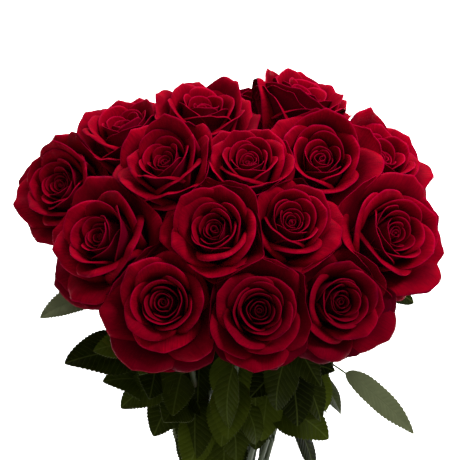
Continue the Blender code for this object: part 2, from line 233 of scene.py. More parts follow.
def rose_stem():
    material, tree, shader = new_material("woody rose stem")
    place = add(tree, "ShaderNodeTexCoord").outputs["Object"]
    # Half-matt bark with fine lengthwise ribs, under a millimetre across, and blotches of red a few
    # centimetres long.
    long_way = add(tree, "ShaderNodeMapping", {"Vector": place, "Scale": (1.0, 1.0, 0.12)}).outputs[0]
    ribs = add(tree, "ShaderNodeTexNoise", {"Vector": long_way, "Scale": 1 / STEM_RIB, "Detail": 3.0})
    ribs = ribs.outputs["Fac"]
    blotch = add(tree, "ShaderNodeTexNoise", {"Vector": place, "Scale": 1 / STEM_BLOTCH, "Detail": 3.0})
    blotch = {"Value": blotch.outputs["Fac"], "From Min": 0.5, "From Max": 0.7, "To Max": 0.6}
    flush = add(tree, "ShaderNodeMapRange", blotch).outputs[0]
    shade = {0: ribs, 6: linear(STEM_DARK), 7: linear(STEM_GREEN)}
    shade = add(tree, "ShaderNodeMix", shade, data_type="RGBA").outputs[2]
    colour = {0: flush, 6: shade, 7: linear(STEM_FLUSH)}
    colour = add(tree, "ShaderNodeMix", colour, data_type="RGBA").outputs[2]
    bump = add(tree, "ShaderNodeBump", {"Height": ribs, "Strength": 0.35, "Distance": 0.0004})
    tree.links.new(colour, shader.inputs["Base Color"])
    tree.links.new(bump.outputs["Normal"], shader.inputs["Normal"])
    shader.inputs["Roughness"].default_value = STEM_ROUGHNESS
    return material


def add_thorn(stem, place, outward):
    """One hooked thorn on a stem: a flattened cone whose tip leans down."""
    bpy.ops.mesh.primitive_cone_add(
        vertices=8, radius1=THORN_WIDTH / 2, radius2=THORN_TIP, depth=THORN_LENGTH
    )
    thorn = bpy.context.object
    points = np.array([v.co for v in thorn.data.vertices])
    share = points[:, 2] / THORN_LENGTH + 0.5
    points[:, 0] *= THORN_FLATNESS
    points[:, 1] -= THORN_HOOK * np.clip(share, 0, 1) ** 1.8
    points[:, 2] = share * THORN_LENGTH - THORN_ROOT
    outward = outward.normalized()
    up_stem = (Vector((0, 0, 1)) - outward * outward.z).normalized()
    turn = Matrix((up_stem.cross(outward), up_stem, outward)).transposed()
    points = points @ np.array(turn).T + np.array(place)
    thorn.data.vertices.foreach_set("co", points.ravel())
    thorn.select_set(True)
    stem.select_set(True)
    bpy.context.view_layer.objects.active = stem
    bpy.ops.object.join()


stem_material = rose_stem()
rose_names = sorted(name[len("stem_") :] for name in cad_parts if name.startswith("stem_"))
for number, rose in enumerate(rose_names):
    stem = copy_of_node("stem_" + rose, "rose_stem_" + rose)
    chance = np.random.default_rng(100 + number)
    sides = [p for p in stem.data.polygons if p.area > SIDE_AREA and THORNS_FROM < p.center.z < THORNS_TO]
    spots = []
    for side in [sides[i] for i in chance.permutation(len(sides))[:THORNS_ON_A_STEM]]:
        ends = [stem.data.vertices[i].co for i in side.vertices]
        low, high = min(ends, key=lambda e: e.z), max(ends, key=lambda e: e.z)
        along = chance.uniform(-0.5, 0.5)
        spots.append((side.center + (high - low) * along * 0.8, side.normal.copy()))
    round_off(stem, 1)
    for place, outward in spots:
        add_thorn(stem, place, outward)
    finish_piece(stem, stem_material, ["stem_" + rose])

# The hips' sepals
# Five narrow green sepals fold back from each hip once the bud has opened. They are leafy, half a
# millimetre thick, and grow from the hip's shoulder.

SEPALS_ON_A_HIP = 5
SEPAL_LENGTH = 0.027
SEPAL_WIDTH = 0.0068
SEPAL_THICKNESS = 0.0005
SEPAL_ROWS = 9
SEPAL_CUP = 0.25
SEPAL_FIRST_ANGLE = 0.9
SHOULDER_RADIUS = 0.0045
SHOULDER_DROP = 0.0012
SEPAL_GREEN = "4A5A2C"
SEPAL_DOWN = "8D9A6B"
SEPAL_ROUGHNESS = 0.6
DOWN_TUFT = 0.00111
CAP_RADIUS = 0.012


def hip_of(rose):
    """Where a bloom sits on its hip, which way the bloom faces, and the bloom's radius and depth."""
    stem_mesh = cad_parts["stem_" + rose].data
    bloom = node_points("bloom_" + rose)
    middle = Vector(bloom.mean(axis=0))
    cap = min(stem_mesh.polygons, key=lambda p: (p.center - middle).length)
    facing = cap.normal.normalized()
    level = [p for p in stem_mesh.polygons if p.normal.dot(facing) > 0.999]
    level = [p for p in level if (p.center - cap.center).length < CAP_RADIUS]
    hip = sum((p.center * p.area for p in level), Vector()) / sum(p.area for p in level)
    from_hip = bloom - np.array(hip)
    height = from_hip @ np.array(facing)
    radius = np.linalg.norm(from_hip - np.outer(height, facing), axis=1).max()
    return hip, facing, radius, height.max()


def standing(facing, spin):
    """The turn that stands a piece made along +Z on a bloom's axis, spun about it."""
    return (facing.to_track_quat("Z", "Y") @ Matrix.Rotation(spin, 3, "Z").to_quaternion()).to_matrix()


def blade_grid(columns, rows, name):
    """A flat grid to shape a blade from, with how far across (-1 to 1) and along (0 to 1) each point is."""
    bpy.ops.mesh.primitive_grid_add(x_subdivisions=columns, y_subdivisions=rows, size=2)
    blade = bpy.context.object
    blade.name = name
    flat = np.empty(len(blade.data.vertices) * 3)
    blade.data.vertices.foreach_get("co", flat)
    flat = flat.reshape(-1, 3)
    return blade, flat[:, 0].round(5), ((flat[:, 1] + 1) / 2).round(5)


def sepal_skin():
    material, tree, shader = new_material("sepal")
    place = add(tree, "ShaderNodeTexCoord").outputs["Object"]
    # Fine down dulls the green with pale tufts, drawn about a millimetre across so that they show.
    down = add(tree, "ShaderNodeTexNoise", {"Vector": place, "Scale": 1 / DOWN_TUFT, "Detail": 2.0})
    down = down.outputs["Fac"]
    colour = {0: down, 6: linear(SEPAL_GREEN), 7: linear(SEPAL_DOWN)}
    colour = add(tree, "ShaderNodeMix", colour, data_type="RGBA").outputs[2]
    bump = add(tree, "ShaderNodeBump", {"Height": down, "Strength": 0.4, "Distance": 0.0003})
    tree.links.new(colour, shader.inputs["Base Color"])
    tree.links.new(bump.outputs["Normal"], shader.inputs["Normal"])
    shader.inputs["Roughness"].default_value = SEPAL_ROUGHNESS
    return material


def join_all(pieces, name):
    bpy.ops.object.select_all(action="DESELECT")
    for piece in pieces:
        piece.select_set(True)
    bpy.context.view_layer.objects.active = pieces[0]
    if len(pieces) > 1:
        bpy.ops.object.join()
    pieces[0].name = name
    pieces[0].data.name = name
    return pieces[0]


sepals = []
for number, rose in enumerate(rose_names):
    hip, facing, radius, depth = hip_of(rose)
    chance = np.random.default_rng(300 + number)
    for turn in range(SEPALS_ON_A_HIP):
        sepal, across, along = blade_grid(4, SEPAL_ROWS, "sepal")
        step = SEPAL_LENGTH * chance.uniform(0.85, 1.15) / SEPAL_ROWS
        half = SEPAL_WIDTH / 2 * (1 - along**1.6) ** 0.9 * (0.8 + 0.45 * np.sin(math.pi * along))
        # It leaves the hip's shoulder outwards and arches over until it hangs.
        angles = SEPAL_FIRST_ANGLE + chance.uniform(1.2, 1.7) * np.arange(SEPAL_ROWS) / SEPAL_ROWS
        row = np.round(along * SEPAL_ROWS).astype(int)
        out = SHOULDER_RADIUS + np.append(0, np.cumsum(np.sin(angles) * step))[row]
        rise = np.append(0, np.cumsum(np.cos(angles) * step))[row] - SHOULDER_DROP
        points = np.stack([out - SEPAL_CUP * across**2 * half, across * half, rise], axis=1)
        spin = math.tau * turn / SEPALS_ON_A_HIP + chance.uniform(-0.15, 0.15)
        spun = points @ np.array(Matrix.Rotation(spin, 3, "Z")).T
        placed = spun @ np.array(standing(facing, 0.0)).T + np.array(hip)
        sepal.data.vertices.foreach_set("co", placed.ravel())
        sepals.append(sepal)
sepals = join_all(sepals, "hip_sepals")
thick = sepals.modifiers.new("Thickness", "SOLIDIFY")
thick.thickness = SEPAL_THICKNESS
apply_modifiers(sepals)
bpy.ops.object.shade_smooth()
finish_piece(sepals, sepal_skin())

# The leaves
# Rose leaves are pinnate: a thin rachis with a leaflet on its end and, on most, a pair behind it. A leaflet
# is a stiff, leathery, saw-edged blade, dark and waxy above, paler and matt below, folded a little along its
# midrib. The rachis grows out of its stem.

LEAF_TOP = "3E480C"
LEAF_TOP_DEEP = "101500"
LEAF_UNDER = "767B5A"
LEAF_UNDER_DEEP = "4A4F37"
LEAF_VEIN = "58642C"
LEAF_WAX_ROUGHNESS, LEAF_UNDER_ROUGHNESS = 0.42, 0.62
LEAF_GLOSS = 0.02
BLADE_THICKNESS = 0.0004
BLADE_EDGE_ANGLE = math.radians(40)
TEETH_ON_A_SIDE = 20
RACHIS_END = 0.0027

# Each of these sizes is in millimetres, as a leaf is shaped flat in them before it is bent and placed.
TOOTH_DEPTH = 0.9
RACHIS_HALF_WIDTH = 0.75
RACHIS_CROWN = 0.35
SIDE_VEIN_GAP = 5.2
VEIN_WOBBLE = 5.556
VEIN_NET = 1.11
LEAF_MOTTLE = 12.5
# A pair of side leaflets: its place along the rachis, its leaflets' size beside the end one's, and the angle
# in degrees that they stand at.
PAIR_PLACE = 0.62
PAIR_SIZE = 0.80
PAIR_ANGLE = 58.0

# Each leaf: the stem it grows from, heading and rise of its rachis, roll about it, and droop over its
# length, in degrees, then the rachis, leaflet length and leaflet width in millimetres, and how many pairs of
# side leaflets it has.
LEAVES = {
    "left_grey": ("left_upper", 229, 38, -35, 72, 58, 58, 26, 1),
    "left_big": ("left_lower", 219, 40, -30, 45, 52, 70, 46, 1),
    "left_small": ("front_left", 211, 29, -30, 50, 35, 44, 28, 1),
    "left_low": ("front_left", 223, 61, -30, 60, 42, 64, 46, 1),
    "low_left": ("front_left", 281, -24, -25, 50, 6, 58, 38, 0),
    "middle_fold": ("front_middle", 238, -38, 0, 60, 16, 56, 22, 0),
    "middle_low": ("front_middle", 317, -24, 0, 60, 8, 44, 30, 0),
    "middle_long": ("front_right", 231, -41, 0, 50, 28, 58, 34, 1),
    "right_low": ("front_right", 322, 4, 20, 50, 6, 64, 42, 0),
    "right_dark": ("front_right", 300, -36, 20, 40, 6, 48, 30, 0),
    "right_long": ("right_lower", 346, -26, 20, 26, 50, 88, 27, 0),
    "right_high": ("right_lower", 348, 6, 20, 50, 35, 42, 26, 1),
    "right_rear": ("back_right_low", 19, 35, 20, 60, 50, 60, 42, 1),
    "rear": ("back_low", 77, 42, 0, 70, 49, 62, 44, 1),
    "left_behind": ("back_left_low", 119, 38, 0, 60, 46, 60, 42, 1),
    "left_rear": ("left_back", 138, 36, 0, 60, 40, 60, 40, 1),
}

# Two of them hang turned over, with their pale side up.
TURNED_LEAVES = ("left_grey", "right_long")

# Smaller leaves tucked in between the stems: the stem each grows from and its height on it in millimetres,
# then the same numbers as above.
TUCKED_LEAVES = (
    ("front_left", 372, 215, 10, -20, 55, 20, 54, 36, 1),
    ("front_left", 340, 262, -20, 0, 50, 10, 50, 34, 0),
    ("left_lower", 350, 245, -5, -10, 60, 20, 52, 36, 1),
    ("front_middle", 385, 262, -15, 0, 50, 12, 52, 34, 0),
    ("front_middle", 345, 285, -35, 0, 40, 8, 48, 32, 0),
    ("front_right", 400, 285, -15, 0, 60, 15, 56, 34, 1),
    ("front_right", 360, 268, -40, 0, 40, 8, 46, 30, 0),
    ("centre", 330, 255, -30, 0, 40, 10, 50, 34, 0),
    ("centre_right", 350, 262, -30, 0, 40, 10, 54, 34, 0),
    ("right_lower", 380, 310, -10, 10, 60, 14, 50, 34, 1),
    ("right_lower", 345, 335, -48, 0, 20, 30, 62, 26, 0),
    ("front_right", 400, 315, -30, 0, 30, 10, 60, 34, 0),
    ("front_left", 315, 255, -40, 0, 30, 8, 50, 34, 0),
    ("front_middle", 318, 268, -45, 0, 30, 8, 50, 36, 0),
    ("centre", 300, 262, -45, 0, 30, 8, 52, 36, 0),
    ("left_lower", 320, 248, -45, 180, -30, 8, 52, 34, 0),
    ("centre", 400, 262, -50, 0, 20, 10, 56, 38, 0),
    ("front_middle", 370, 250, -45, 0, 20, 8, 50, 34, 0),
    ("top_left", 385, 245, -45, 0, 20, 10, 56, 38, 0),
    ("upper_left", 395, 255, -45, 0, 20, 10, 56, 38, 0),
    ("small_middle", 400, 280, -45, 0, 20, 10, 56, 38, 0),
    ("left_upper", 380, 205, 5, 0, 60, 30, 52, 36, 1),
    ("right_upper", 400, 0, 10, 0, 60, 30, 52, 34, 1),
    ("back_right_low", 360, 50, 0, 0, 60, 20, 52, 36, 1),
    ("back_low", 350, 95, 0, 0, 60, 20, 54, 36, 1),
    ("back_left_low", 370, 135, 5, 0, 60, 20, 54, 36, 1),
    ("right_upper", 450, 10, 25, 0, 60, 30, 50, 34, 1),
    ("right_upper", 350, 350, -20, 0, 50, 20, 50, 34, 1),
    ("back_right_low", 420, 25, 15, 0, 60, 30, 50, 34, 1),
    ("back_right_low", 320, 40, -25, 0, 40, 20, 50, 34, 1),
    ("back_low", 420, 60, 15, 0, 60, 30, 52, 36, 1),
    ("back_low", 400, 110, 10, 0, 60, 30, 52, 36, 1),
    ("back_high", 430, 85, 0, 0, 60, 40, 54, 36, 1),
    ("back_high", 340, 90, -30, 0, 40, 30, 50, 34, 1),
    ("back_left_low", 420, 120, 15, 0, 60, 30, 50, 34, 1),
    ("back_left_high", 440, 145, 10, 0, 60, 34, 50, 34, 1),
    ("left_back", 400, 165, 15, 0, 60, 30, 50, 34, 1),
    ("left_back", 330, 150, -20, 0, 50, 20, 50, 34, 1),
    ("top_right", 440, 20, 20, 0, 60, 40, 50, 34, 1),
    ("centre", 440, 240, 35, 0, 50, 20, 46, 30, 1),
    ("centre_right", 440, 300, 35, 0, 50, 20, 46, 30, 1),
    ("small_middle", 450, 270, 45, 0, 50, 20, 44, 30, 1),
    ("left_lower", 420, 240, 30, 0, 50, 20, 46, 32, 1),
    ("right_lower", 430, 330, 30, 0, 50, 20, 46, 32, 1),
)


def leaf_blade():
    # Leathery and waxy, so it is dark with a faint gloss above, and matt, paler and greyer below.
    material, tree, shader = new_material("rose leaf")
    where = add(tree, "ShaderNodeUVMap", uv_map="blade").outputs[0]
    split = add(tree, "ShaderNodeSeparateXYZ", {0: where})
    side = add(tree, "ShaderNodeMath", {0: split.outputs[0]}, operation="ABSOLUTE").outputs[0]
    underside = add(tree, "ShaderNodeAttribute", attribute_name="underside").outputs["Fac"]
    # Side veins leave the midrib at about 50 degrees, 5 mm apart.
    swept = {0: side, 1: -0.8, 2: split.outputs[1]}
    swept = add(tree, "ShaderNodeMath", swept, operation="MULTIPLY_ADD").outputs[0]
    wobble = add(tree, "ShaderNodeTexNoise", {"Vector": where, "Scale": 1 / VEIN_WOBBLE, "Detail": 2.0})
    bent = {0: wobble.outputs["Fac"], 1: 2.4, 2: swept}
    bent = add(tree, "ShaderNodeMath", bent, operation="MULTIPLY_ADD").outputs[0]
    wave = {0: bent, 1: math.tau / SIDE_VEIN_GAP}
    wave = add(tree, "ShaderNodeMath", wave, operation="MULTIPLY").outputs[0]
    crest = add(tree, "ShaderNodeMath", {0: wave}, operation="COSINE").outputs[0]
    veins = add(tree, "ShaderNodeMapRange", {"Value": crest, "From Min": 0.86, "From Max": 1.0}).outputs[0]
    midrib = add(tree, "ShaderNodeMapRange", {"Value": side, "From Min": 0.9, "From Max": 0.35}).outputs[0]
    lines = add(tree, "ShaderNodeMath", {0: veins, 1: 0.45}, operation="MULTIPLY").outputs[0]
    lines = add(tree, "ShaderNodeMath", {0: lines, 1: midrib}, operation="MAXIMUM").outputs[0]
    # The net of the finest veins, under a millimetre, drawn a little coarse so that it shows.
    net = {"Vector": where, "Scale": 1 / VEIN_NET}
    net = add(tree, "ShaderNodeTexVoronoi", net, feature="DISTANCE_TO_EDGE").outputs[0]
    mottle = add(tree, "ShaderNodeTexNoise", {"Vector": where, "Scale": 1 / LEAF_MOTTLE, "Detail": 4.0})
    # Young leaves are paler than old ones.
    youth = add(tree, "ShaderNodeAttribute", attribute_name="youth").outputs["Fac"]
    pale = {0: mottle.outputs["Fac"], 1: 0.5, 2: youth}
    pale = add(tree, "ShaderNodeMath", pale, operation="MULTIPLY_ADD").outputs[0]
    top = {0: pale, 6: linear(LEAF_TOP_DEEP), 7: linear(LEAF_TOP)}
    top = add(tree, "ShaderNodeMix", top, data_type="RGBA").outputs[2]
    seen = add(tree, "ShaderNodeMath", {0: lines, 1: 0.3}, operation="MULTIPLY").outputs[0]
    top = add(tree, "ShaderNodeMix", {0: seen, 6: top, 7: linear(LEAF_VEIN)}, data_type="RGBA").outputs[2]
    below = {0: pale, 6: linear(LEAF_UNDER_DEEP), 7: linear(LEAF_UNDER)}
    below = add(tree, "ShaderNodeMix", below, data_type="RGBA").outputs[2]
    colour = add(tree, "ShaderNodeMix", {0: underside, 6: top, 7: below}, data_type="RGBA").outputs[2]
    swell = add(tree, "ShaderNodeMath", {0: crest, 1: -0.5}, operation="MULTIPLY").outputs[0]
    height = {0: lines, 1: -1.2, 2: swell}
    height = add(tree, "ShaderNodeMath", height, operation="MULTIPLY_ADD").outputs[0]
    height = {0: net, 1: 0.5, 2: height}
    height = add(tree, "ShaderNodeMath", height, operation="MULTIPLY_ADD").outputs[0]
    bump = add(tree, "ShaderNodeBump", {"Height": height, "Strength": 0.28, "Distance": 0.0007})
    rough = {"Value": underside, "To Min": LEAF_WAX_ROUGHNESS, "To Max": LEAF_UNDER_ROUGHNESS}
    rough = add(tree, "ShaderNodeMapRange", rough).outputs[0]
    tree.links.new(colour, shader.inputs["Base Color"])
    tree.links.new(rough, shader.inputs["Roughness"])
    shader.inputs["Specular IOR Level"].default_value = LEAF_GLOSS
    tree.links.new(bump.outputs["Normal"], shader.inputs["Normal"])
    return material


def name_point_value(mesh, name, values):
    attribute = mesh.attributes.new(name, "FLOAT", "POINT")
    attribute.data.foreach_set("value", np.asarray(values, dtype=np.float32))


def name_corner_place(mesh, name, across_mm, along_mm):
    """A UV map in millimetres, so that a pattern keeps its real size."""
    for layer in mesh.uv_layers[:]:
        mesh.uv_layers.remove(layer)
    layer = mesh.uv_layers.new(name=name)
    corner = np.empty(len(mesh.loops), dtype=np.int32)
    mesh.loops.foreach_get("vertex_index", corner)
    layer.data.foreach_set("uv", np.stack([across_mm[corner], along_mm[corner]], axis=1).ravel())


def leaflet(length, width, heading, base, chance):
    """One saw-edged leaflet in the plane of its leaf, in millimetres, growing from base at a heading."""
    blade, across, along = blade_grid(8, 2 * TEETH_ON_A_SIDE, "leaflet")
    outline = np.sin(math.pi * along**0.80) ** 0.74 * (1 - 0.24 * along)
    outline /= outline.max()
    half = width / 2 * outline + 0.35
    # Every other point of either edge stands out and forwards as a tooth, but none at the foot or the tip.
    tooth = np.round(along * 2 * TEETH_ON_A_SIDE) % 2
    toothed = (np.abs(across) > 0.99) & (along > 0.06) & (along < 0.97)
    size = TOOTH_DEPTH * np.minimum(1.0, outline * 1.6) * toothed
    x = along * length + tooth * size * 1.1
    y = across * half + np.sign(across) * (tooth - 0.5) * size * 1.3
    # It is folded along the midrib, curls down towards its tip, and its edges wave.
    fold, curl, wave = chance.uniform(0.10, 0.34), chance.uniform(0.03, 0.11), chance.uniform(0.5, 1.5)
    phase = chance.uniform(0, math.tau)
    z = np.abs(y) * fold - curl * length * along**2.2 - 0.012 * y**2
    z = z + wave * np.abs(across) ** 2 * np.sin(along * 9 + phase + np.sign(across)) * outline
    name_corner_place(blade.data, "blade", across * half, along * length)
    turn = Matrix.Rotation(math.radians(heading), 3, "Z")
    points = np.stack([x, y, z], axis=1) @ np.array(turn).T + np.array(base)
    blade.data.vertices.foreach_set("co", points.ravel())
    return blade


def rachis_strip(length):
    strip, across, along = blade_grid(2, 14, "rachis")
    crown = RACHIS_CROWN * (1 - across**2)
    points = np.stack([along * length, across * RACHIS_HALF_WIDTH, crown], axis=1)
    # Its pattern keeps to a leaflet's midrib.
    name_corner_place(strip.data, "blade", across * 0.3, along * length)
    strip.data.vertices.foreach_set("co", points.ravel())
    return strip


def leaf_start(node, stem_node):
    """The foot of a packed leaf's rachis: the middle of its end against its stem."""
    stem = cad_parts[stem_node].data
    surface = BVHTree.FromPolygons([v.co for v in stem.vertices], [tuple(p.vertices) for p in stem.polygons])
    points = node_points(node)
    gaps = [surface.find_nearest(point)[3] for point in points]
    nearest = points[int(np.argmin(gaps))]
    foot = points[np.linalg.norm(points - nearest, axis=1) < RACHIS_END]
    return foot.min(axis=0) / 2 + foot.max(axis=0) / 2


def stem_middle(stem_node, height):
    """The middle of a packed stem at a height."""
    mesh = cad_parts[stem_node].data
    ends = np.empty(2 * len(mesh.edges), dtype=np.int32)
    mesh.edges.foreach_get("vertices", ends)
    low, high = node_points(stem_node)[ends.reshape(-1, 2)].transpose(1, 0, 2)
    crossing = (low[:, 2] - height) * (high[:, 2] - height) < 0
    low, high = low[crossing], high[crossing]
    share = (height - low[:, 2:]) / (high[:, 2:] - low[:, 2:])
    return (low + share * (high - low)).mean(axis=0)


def grow_leaf(name, start, shape, chance, pale_side_up=False):
    """A leaf, shaped flat along +X in millimetres, bent down over its length, and put at its foot."""
    *angles, rachis, size, width, pairs = shape
    heading, rise, roll, droop = np.radians(angles)
    blades = [rachis_strip(rachis), leaflet(size, width, chance.uniform(-6, 6), (rachis, 0, 0), chance)]
    for side in (1, -1) * pairs:
        angle = side * (PAIR_ANGLE + chance.uniform(-8, 8))
        scale = PAIR_SIZE * chance.uniform(0.92, 1.08)
        base = (rachis * PAIR_PLACE + chance.uniform(-1, 1), side * 0.8, 0)
        blades.append(leaflet(size * scale, width * scale, angle, base, chance))
    leaf = join_all(blades, name)
    points = np.empty(len(leaf.data.vertices) * 3)
    leaf.data.vertices.foreach_get("co", points)
    x, y, z = points.reshape(-1, 3).T
    bend = droop / (rachis + size)
    from_centre = 1 / bend + z
    along, above = np.sin(bend * x) * from_centre, np.cos(bend * x) * from_centre - 1 / bend
    points = np.stack([along, y, above], axis=1) / 1000
    pointing = Vector((math.cos(heading), math.sin(heading), math.tan(rise))).normalized()
    sideways = Vector((0, 0, 1)).cross(pointing).normalized()
    turn = Matrix((pointing, sideways, pointing.cross(sideways))).transposed()
    turn = turn @ Matrix.Rotation(roll, 3, "X")
    leaf.data.vertices.foreach_set("co", (points @ np.array(turn).T + start).ravel())
    leaf.data.update()
    lower_face = len(leaf.data.vertices)
    name_point_value(leaf.data, "underside", np.zeros(lower_face))
    name_point_value(leaf.data, "youth", np.full(lower_face, chance.uniform(-0.25, 0.6)))
    thick = leaf.modifiers.new("Thickness", "SOLIDIFY")
    thick.thickness = BLADE_THICKNESS
    thick.offset = -1.0
    apply_modifiers(leaf)
    below = (np.arange(len(leaf.data.vertices)) < lower_face) != pale_side_up
    leaf.data.attributes["underside"].data.foreach_set("value", below.astype(np.float32))
    bpy.ops.object.shade_smooth_by_angle(angle=BLADE_EDGE_ANGLE)
    return leaf


blade_material = leaf_blade()
for number, (name, (stem, *shape)) in enumerate(LEAVES.items()):
    start = leaf_start("leaf_" + name, "stem_" + stem)
    chance = np.random.default_rng(500 + number)
    leaf = grow_leaf("leaf_blade_" + name, start, shape, chance, name in TURNED_LEAVES)
    finish_piece(leaf, blade_material, ["leaf_" + name])
for number, (stem, height, *shape) in enumerate(TUCKED_LEAVES):
    start = stem_middle("stem_" + stem, height / 1000)
    leaf = grow_leaf(f"tucked_leaf_{number + 1}", start, shape, np.random.default_rng(700 + number))
    finish_piece(leaf, blade_material)

# The roses
# Opened florist's roses, each of 32 to 39 velvety petals furled round a tight heart: a cup of upright
# petals, a few broad ones that roll back at the rim, and loose guard petals, all grown on the hip. Where
# blooms crowd, they press flat on each other.

# The first red is both the veins' deep red and the painted shade in the hearts, under the blooms and away
# from the rims.
PETAL_DEEP_AND_SHADE = "44000E"
PETAL_RED = "820016"
PETAL_BRIGHT = "A0001A"
# The next red is a painted highlight and sheen along the petals' rolled rims.
PETAL_RIM_HIGHLIGHT = "A40034"
PETAL_REVERSE = "64001E"
PETAL_BRUISE = "2E0018"
PETAL_SHEEN = "B00030"
PETAL_GLOSS = "D0102C"
PETAL_ROUGHNESS = 0.55
PETAL_SHINE = 0.015
SHEEN_SHARE, SHEEN_ROUGHNESS = 0.12, 0.4
PETAL_THICKNESS = 0.00036
PETAL_COLUMNS, PETAL_ROWS = 20, 15
# Each petal stands this far round the bloom from the one inside it.
GOLDEN_ANGLE = math.radians(137.508)
# The radius that the petals below reach in a closed and in a wide open bloom, and the height under which a
# guard petal, low under the bloom, is darkened with painted shade, in millimetres as in a 100 mm bloom.
RIM_CLOSED, RIM_OPEN = 42, 49
SHADED_GUARD_HEIGHT = 29
# A petal's patterns, and how far apart those of two petals are taken so that no two are alike, in
# millimetres.
PETAL_VEIN_GAP = 1.111
PETAL_BLOTCH = 11.11
PETAL_NAP = 0.3846
BRUISE_SIZE = 20.0
PATTERN_STEP = 40
# Where a bloom's middle lies between its hip and its top, how far the petals of two crowded blooms reach in
# between each other, and over what distance they give way.
BLOOM_MIDDLE = 0.65
PETAL_LAP = 0.0025
PRESS_DEPTH = 0.005

# Each rose: how far it has opened (0 to 1), its spin in degrees, the seed of its petals' small differences,
# and how much darker (above 0) or lighter (below 0) than the rest its red is painted: painted shade on the
# front blooms and painted light on the upper right ones, by where the light falls.
HABITS = {
    "left_upper": (0.60, 20, 1, 0.0),
    "left_lower": (0.75, 75, 2, 0.2),
    "front_left": (1.00, 140, 3, 0.35),
    "front_middle": (0.60, 10, 4, 0.95),
    "front_right": (0.70, 60, 5, 0.9),
    "right_lower": (0.50, 215, 6, -0.1),
    "right_upper": (0.50, 310, 7, -0.75),
    "back_right_low": (0.60, 0, 8, 0.0),
    "back_low": (0.70, 30, 9, 0.0),
    "back_left_low": (0.60, 65, 10, 0.0),
    "back_left_high": (0.40, 100, 11, 0.0),
    "left_back": (0.60, 140, 12, 0.0),
    "top_left": (0.30, 160, 13, 0.0),
    "upper_left": (0.35, 190, 14, 0.0),
    "centre": (0.55, 215, 15, 0.1),
    "small_middle": (0.30, 235, 16, -0.1),
    "centre_right": (0.60, 255, 17, 0.1),
    "upper_right": (0.75, 280, 18, -1.0),
    "top_right": (0.10, 300, 19, -0.5),
    "back_high": (0.10, 330, 20, 0.0),
    "top": (0.35, 350, 21, -0.1),
}

# Single outer petals that stand or hang out of a bloom: the way each points from the bloom's middle, then
# its neck's radius and height, its lean and flare in degrees and half its width, in millimetres as in a
# 100 mm bloom.
LONE_PETALS = {
    "upper_left": (((0.05, 0.5, 0.87), 27, 53, 8, 16, 32),),
    "centre": (((-0.75, 0.4, 0.60), 27, 48, 8, 16, 30),),
    "upper_right": (((0.10, 0.5, 0.87), 27, 50, 8, 16, 34),),
    "top": (((0.80, 0.4, 0.50), 27, 50, 8, 16, 36),),
    "top_right": (((-0.35, -0.9, 0.1), 31, 42, 5, 10, 46), ((-0.95, -0.2, 0.1), 32, 38, 12, 58, 26)),
    "left_upper": (((0.10, 0.5, 0.87), 27, 50, 8, 16, 32),),
    "right_upper": (((-0.20, 0.5, 0.87), 30, 50, 14, 20, 36),),
    "left_lower": (((-0.85, -0.2, -0.40), 34, 27, 44, 30, 34),),
    "right_lower": (((0.95, 0.1, 0.35), 32, 34, 30, 26, 34),),
    "centre_right": (((0.20, -0.4, -0.85), 33, 25, 50, 30, 34),),
    "front_right": (((0.95, 0.1, -0.10), 34, 28, 44, 30, 34),),
}


